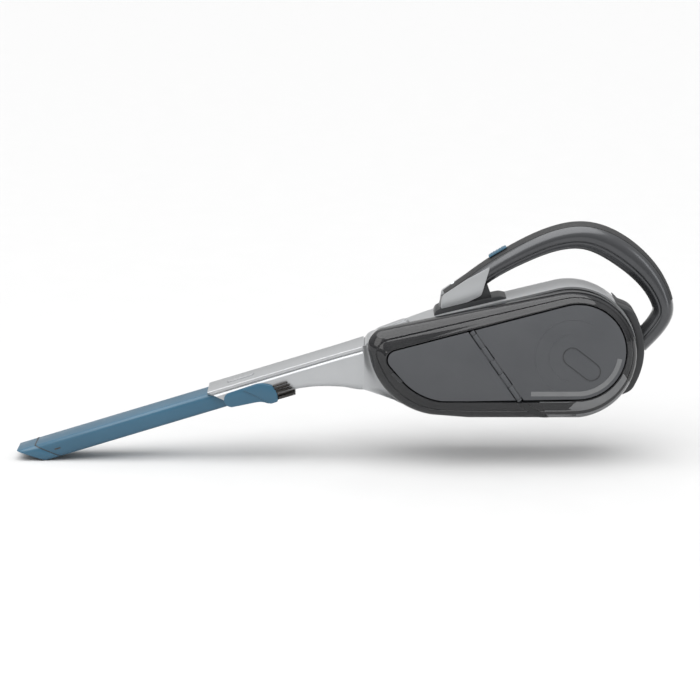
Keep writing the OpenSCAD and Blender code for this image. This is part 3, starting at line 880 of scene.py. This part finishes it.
rows = []
for z in between(1.8, 66, 40):
    start = -159.0 if z > 24 else -159.0 + (24 - z) / 22 * 61.7
    stop = max(rim_front(z) + 5, start + 3)
    row = []
    for share in between(0, 1, 12):
        x = start + (stop - start) * share
        swing = min(1.0, (x - start) / max(0.1, rim_front(z) - 1 - start))
        edge_roll = 2.6 * (1 - math.sqrt(max(0.0, 1 - (1 - min(1.0, share * 6)) ** 2))) if z < 24 else 0.0
        row.append((x, -25.9 + 2.1 * swing * swing * (3 - 2 * swing) + edge_roll, z))
    rows.append(row)
make("front_fascia", [loft(rows, around=False)], "silver_plastic", "housing", radius=0, thick=1.5,
     outward=(-140, -90, 40))

# %% Bowl wall
ROLL = [(24.3, 0, -0.9), (31, 0, -0.3), (38, 0, 0), (41.5, 0.10, 0), (44.2, 0.27, 0), (45.8, 0.46, 0)]


def roll_share(y):
    """How far the wall has turned from the rim to the face at the depth y, and how far it is drawn in."""
    share, grow = blend_value(ROLL, -y)
    return max(0.0, share), grow


rings = [wall_ring(y, *roll_share(y)) for y in between(-24.3, -45.8, 14)]
rings += [wall_ring(-45.5, 0.49), wall_ring(-45.6, 0.52), wall_ring(-46.4, 0.54), wall_ring(-47.0, 0.60)]
rings += [wall_ring(-48.3, 0.80), wall_ring(-49.2, 0.94), wall_ring(-49.6, 0.985)]
rings.append(wall_ring(-49.7, 1.0, -0.3))
rings += [wall_ring(-49.6, 1.0, -0.8), wall_ring(-49.0, 1.0, -1.1), wall_ring(-47.3, 1.0, -2.0)]
rings += [wall_ring(-46.2, 0.72, -2.4), wall_ring(-42.6, 0.3, -2.4), wall_ring(-37.5, 0, -2.5)]
rings.append(wall_ring(-24.3, 0, -3.3))
make("bowl_wall", [loft(rings, closed=True)], "smoked_plastic", "dust_bin", ["dust_bowl"], radius=0)

# %% [markdown]
# ## Painted light at the lower rear of the bowl
# The tinted wall looks paler at the lower rear, where nothing dark stands behind it. A thin opaque sheet laid
# over the wall paints that paler look as a lighter grey, which is painted light, and a black stripe marks
# where it begins.

# %% Painted light on the lower roll, as an opaque lighter sheet
# This pale grey finish is painted light, for the paler look of the tinted wall at the lower rear.
moulded("painted_light_patch", (0.105, 0.108, 0.112), (0.145, 0.148, 0.152), (0.08, 0.14), coat=0.3,
        bump=0.000004, dusty=0.05)


def light_patch_ring(y, share, grow):
    """The lower rear stretch of the wall's outline, from the stripe round to the side of the hub."""
    outline = teardrop(part_way(share), grow)
    floor = [(16 - 10 * share + 5 * i, outline[0][1]) for i in range(4)]
    return [(x, y, z) for x, z in floor + outline[2:25]]


rows = [light_patch_ring(y, roll_share(y)[0], 0.1) for y in between(-26, -45.6, 12)]
rows += [light_patch_ring(-45.8, 0.50, 0.0), light_patch_ring(-46.6, 0.54, 0.1), light_patch_ring(-47.2, 0.60, 0.12)]
rows += [light_patch_ring(-48.5, 0.80, 0.12), light_patch_ring(-49.35, 0.94, 0.1), light_patch_ring(-49.7, 0.985, 0.0)]
# The sheet is opaque, and its lighter grey is painted light.
make("painted_light_patch", [loft(rows, around=False)], "painted_light_patch", "dust_bin", radius=0, thick=0.4,
     outward=(80, -90, -60))

# %% Dark stripe over the lower roll, slanted as the hinge line is
x_face, x_rim, half, proud = -10.5, 12.0, 8.5 / 2, 0.12
rows = []
for y, share in ((-36, 0.0), (-38, 0.0), (-41.5, 0.10), (-44.2, 0.27), (-45.8, 0.46), (-47.0, 0.60),
                 (-48.3, 0.80), (-49.2, 0.94), (-49.75, 1.0)):
    x, z = x_rim + (x_face - x_rim) * share, 16 * share - proud
    rows.append([(x - half, y - proud, z), (x, y - proud * 1.3, z - 0.1), (x + half, y - proud, z)])
make("roll_stripe_low", [loft(rows, around=False)], "soft_grip", "dust_bin", radius=0, thick=0.4,
     outward=(0, -90, -60))

# %% [markdown]
# ## Face panel and door
# The flat face is in two halves: the rear half is fixed, and the front half is the emptying door, which
# turns on the slanted row of knuckles. The CAD halves carry the hinge exactly, so they stay, with their
# edges softened. The trim is added: stub ends of the hinge, a blank badge, faint moulded rings and a rib.

# %% Softened halves and pins
for name in ("bowl_panel", "bowl_door"):
    soften(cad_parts[name], 0.45)
for name in ("hinge_pin", "door_latch", "bowl_seal", "mid_frame", "filter_frame", "filter_screen",
             "filter_pleats"):
    soften(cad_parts[name], 0.2)
face_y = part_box("door_latch")[1].y * 1000 + 0.1
print("the face lies at y =", round(face_y, 2), "mm")


# %% Stub ends of the hinge line
HINGE_MID = (-34.4, 50.8)
HINGE_LEAN = math.radians(34.7)
pin_y = sum(v.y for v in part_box("hinge_pin")) * 500


def knuckle(start, stop, radius):
    """A rounded stub along the hinge line, between two distances from its middle."""
    rings = []
    for t, r in ((start, radius - 0.5), (start + 0.4, radius), (stop - 0.4, radius), (stop, radius - 0.5)):
        centre = (HINGE_MID[0] - t * math.sin(HINGE_LEAN), HINGE_MID[1] + t * math.cos(HINGE_LEAN))
        rings.append([(centre[0] + r * math.cos(a) * math.cos(HINGE_LEAN), pin_y + r * math.sin(a),
                       centre[1] + r * math.cos(a) * math.sin(HINGE_LEAN))
                      for a in (2 * math.pi * i / 20 for i in range(20))])
    return loft(rings)


make("hinge_stubs", [knuckle(37.2, 41.2, 2.5), knuckle(-39.4, -37.2, 2.5)], "panel_plastic", "dust_bin",
     radius=0)


# %% Blank badge, rings and rib
def raised_band(outline, width, height, y, closed=True):
    """A low moulded band with sloping sides along a line in x and z."""
    count = len(outline)
    rows = []
    for i, (x, z) in enumerate(outline):
        before = outline[(i - 1) % count] if closed or i else outline[0]
        after = outline[(i + 1) % count] if closed or i < count - 1 else outline[-1]
        run = Vector((after[0] - before[0], after[1] - before[1])).normalized()
        side = Vector((-run.y, run.x))
        profile = ((-width / 2, -0.2), (-width / 2 + 0.15, height), (width / 2 - 0.15, height),
                   (width / 2, -0.2))
        rows.append([(x + side.x * w, y - h, z + side.y * w) for w, h in profile])
    return loft(rows, closed=closed)


turn = math.radians(-38)
badge = [(45 + a * math.cos(turn) - b * math.sin(turn), 53.5 + a * math.sin(turn) + b * math.cos(turn))
         for a, b in slot_outline(40, 17)]
make("blank_badge", [raised_band(badge, 1.0, 0.28, face_y)], "dark_plastic", "dust_bin", radius=0)
rings = [raised_band(arc(HUB, r, a0, a1, 40), 0.9, 0.10, face_y, closed=False)
         for r, a0, a1 in ((36, 60, 250), (23, 95, 260))]
make("moulded_rings", rings, "panel_plastic", "dust_bin", radius=0)
inner_edge = teardrop(FACE, -7.5)
rib_line = [(-2 + 5 * i, inner_edge[0][1]) for i in range(8)] + inner_edge[1:31]
# The rib takes the same pale finish as the painted-light patch on the wall.
make("lower_rib", [raised_band(rib_line, 4.6, 0.12, face_y, closed=False)], "painted_light_patch", "dust_bin",
     radius=0)

# %% [markdown]
# ## Handle
# The handle is a loop swept along a curved line: soft rubber on top, two gloss shells at the sides, and a
# soft strip below. Towards the rear, gloss strips take over from the soft ones. All of them follow the same
# line and cross-section, and only differ in the angles they cover, so the seams between them run true. The
# section is a squarish oval, which keeps a long clean highlight along its upper shoulder.

# %% The line of the handle
HANDLE = [(-102, 88, 9.5), (-80, 104.3, 9.5), (-58, 120.5, 9.5), (-36.5, 136.5, 9.5), (-4, 154, 10.8),
          (24, 165, 11.8), (54, 167.6, 13.2), (85, 152.4, 14), (112, 128, 12), (125, 103, 10), (124, 90, 10),
          (115, 76.5, 9.8), (101, 62, 9.8), (90, 50, 9.8)]
GRIP_HALF = 15.5
handle_table = [(k, *row) for k, row in enumerate(HANDLE)]
stations = between(1, 12, 110)


def handle_axis(k):
    """The line at station k, evened out over its neighbours so that the tight rear bend stays round."""
    rows = [blend_value(handle_table, max(1, min(12, k + step))) for step in (-0.5, 0, 0, 0.5)]
    return [sum(column) / 4 for column in zip(*rows)]


def handle_point(k, angle, grow):
    """Point on the section at station k; the angle runs from straight up towards the near side."""
    x, z, half = handle_axis(k)
    ahead, behind = handle_axis(min(k + 0.3, 12)), handle_axis(max(k - 0.3, 1))
    run = Vector((ahead[0] - behind[0], ahead[1] - behind[1])).normalized()
    a = math.radians(angle)
    power = 2 / 2.35
    side = math.copysign(abs(math.sin(a)) ** power, math.sin(a))
    rise = math.copysign(abs(math.cos(a)) ** power, math.cos(a))
    # Keeps the squarish oval inside the round one that the CAD uses
    fit = 1 - 0.05 * abs(math.sin(2 * a))
    height = (half + grow) * rise * fit
    return (x - run.y * height, -(GRIP_HALF + grow) * side * fit, z + run.x * height)


def handle_strip(name, angles, grow, finish, stands_for, first=1.0, last=12.0, bumps=None):
    rows = []
    for k in stations:
        if first <= k <= last:
            rows.append([handle_point(k, a, grow + (bumps(a, k) if bumps else 0)) for a in angles])
    half_way = (first + last) / 2
    x, z, _half = handle_axis(half_way)
    centre = Vector((x, 0, z))
    top = centre + (Vector(handle_point(half_way, sum(angles) / len(angles), 0)) - centre) * 4
    return make(name, [loft(rows, around=False)], finish, "housing", stands_for,
                radius=0, thick=2.0, outward=top)


def crease(angle, k):
    """A low styling line along the side of the handle."""
    return -0.9 * math.exp(-((abs(angle) - 112) / 5) ** 2)


near = between(38.5, 150.5, 44)
handle_strip("handle_near", near, 0, "gunmetal_plastic", ["handle_shell_near"], bumps=crease)
handle_strip("handle_far", [-a for a in near], 0, "gunmetal_plastic", ["handle_shell_far"], bumps=crease)
handle_strip("handle_soft_top", between(-37.6, 37.6, 26), 0.3, "soft_grip", ["grip_top"], last=9.0)
handle_strip("handle_gloss_top", between(-38.4, 38.4, 26), 0.0, "gunmetal_plastic", [], first=9.0)
handle_strip("handle_soft_under", between(151.5, 208.5, 16), 0.2, "soft_grip", ["grip_under"], last=9.2)
handle_strip("handle_gloss_under", between(150.6, 209.4, 16), 0, "gunmetal_plastic", [], first=9.2)

# %% [markdown]
# ## Neck, switch and status light
# The handle grows out of the housing through a short neck: a silver cheek on each side over a dark foot. The
# switch is a blue slider with finger ribs, just proud of the rubber, and the light is a small clear dome
# in front of it.

# %% Neck
cheek_line = [(-86, 99.4), (-84.4, 111.8), (-62, 127.0), (-39.5, 139.5), (-47.5, 112.2), (-60, 106.0)]
cheek = rounded(cheek_line, 2.5)
foot_line = [(-92.4, 92.6), (-27, 107.9), (-23.0, 110.0), (-30, 111.6), (-60, 105.6), (-85, 100.0),
             (-90, 97.8)]
foot = rounded(foot_line, 2)
fill = plate([(-88, 95), (-44, 105), (-38, 111), (-42, 122), (-62, 112), (-84, 108)], -12.8, 12.8)
make("neck_cheeks", [plate(cheek, side * 13.5, side * 15.9) for side in (-1, 1)], "silver_plastic", "housing",
     ["handle_neck"], radius=0.9)
make("neck_foot", [plate(foot, -15.2, 15.2), fill], "dark_plastic", "housing", radius=1.0)

# %% Switch and light
SLOPE = math.radians(30.5)
seat = (-31.5, 149.4)


def on_handle(along, across, up):
    """A point in the switch's own frame, which leans with the handle."""
    return (seat[0] + along * math.cos(SLOPE) - up * math.sin(SLOPE), across,
            seat[1] + along * math.sin(SLOPE) + up * math.cos(SLOPE))


rows = []
FRONT_END, REAR_END = -8.8, 10.2
for along in between(FRONT_END, REAR_END, 76):
    ribs = 0.4 * max(0.0, math.cos((along + 5.6) / 3.0 * 2 * math.pi)) if -6.8 < along < 8.4 else 0.0
    ends = min(1.0, max(0.0, (along - FRONT_END) / 2.2), max(0.0, (REAR_END - along) / 2.2))
    top = 2.4 + 0.85 * math.sqrt(ends * (2 - ends)) + ribs
    row = [(-5.4, 1.9), (-5.4, top - 0.5), (-4.6, top - 0.15), (-3.2, top), (0, top + 0.12)]
    row += [(3.2, top), (4.6, top - 0.15), (5.4, top - 0.5), (5.4, 1.9)]
    rows.append([on_handle(along, across, up) for across, up in row])
make("switch_slider_cap", [loft(rows)], "blue_plastic", "switch_slider", ["power_switch"], radius=0)
soften(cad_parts["status_lens"], 0.4)
print("the switch leans at 30.5 degrees, like the handle below it")

# %% [markdown]
# ## Rear cap and the rest
# The rear cap wraps the back of the housing where the handle lands. It is turned about the hub with a raised
# belt, and fades out at both ends. All other CAD parts keep their shape: grille, screws, motor, fan,
# battery and buttons each get their finish and softened edges.

# %% Rear cap
CAP_SPAN = 48
rings = []
for a in between(-CAP_SPAN, CAP_SPAN, 64):
    swell = min(1.0, (CAP_SPAN - abs(a)) / 17)
    swell = swell * swell * (3 - 2 * swell)
    belt = 1.0 if abs(a) < 30 else max(0.0, 1 - (abs(a) - 30) / 6)
    inner, outer = 62.4, 62.6 + 7.4 * swell
    rows = [(inner, -21), (outer - 2.2, -21), (outer - 0.9, -20.2), (outer - 0.4, -18.4), (outer - 0.4, -7.5)]
    rows += [(outer - 0.4 - 0.8 * belt, -7.0), (outer - 0.4 - 0.8 * belt, -5.6), (outer, -5.0), (outer, 14)]
    rows += [(outer - 0.5, 20), (outer - 1.8, 25), (63.2, 29), (inner, 29)]
    rows = [(max(inner, r), y) for r, y in rows]
    turn = math.radians(a)
    rings.append([(HUB[0] + r * math.cos(turn), y, HUB[1] + r * math.sin(turn)) for r, y in rows])
make("rear_cap_skin", [loft(rings)], "dark_plastic", "housing", ["rear_cap"], radius=0.3)

# %% Finishes of the CAD parts that stay
stays = {name: piece for name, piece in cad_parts.items() if not piece.hide_render}
for name, piece in sorted(stays.items()):
    old = piece.data.materials[0].name if piece.data.materials else ""
    chosen = next((f for f in finishes if old.startswith(f)), None)
    print(f"{name}: {old} -> {chosen}")
    piece.data.materials.clear()
    piece.data.materials.append(finishes[chosen or "dark_plastic"])
    if not piece.modifiers:
        soften(piece, 0.25)

# %% [markdown]
# The visual model's box is found, and how far each of its corners lies from the CAD's box is printed.
# The visual model has to stay in the CAD's box.

# %% Print how far the boxes differ
visual_box = [list(corner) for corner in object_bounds()]
for side, cad_corner, seen_corner in zip(("lowest", "highest"), cad_box, visual_box):
    print(side, [round(1000 * (b - a), 2) for a, b in zip(cad_corner, seen_corner)], "mm from the CAD")
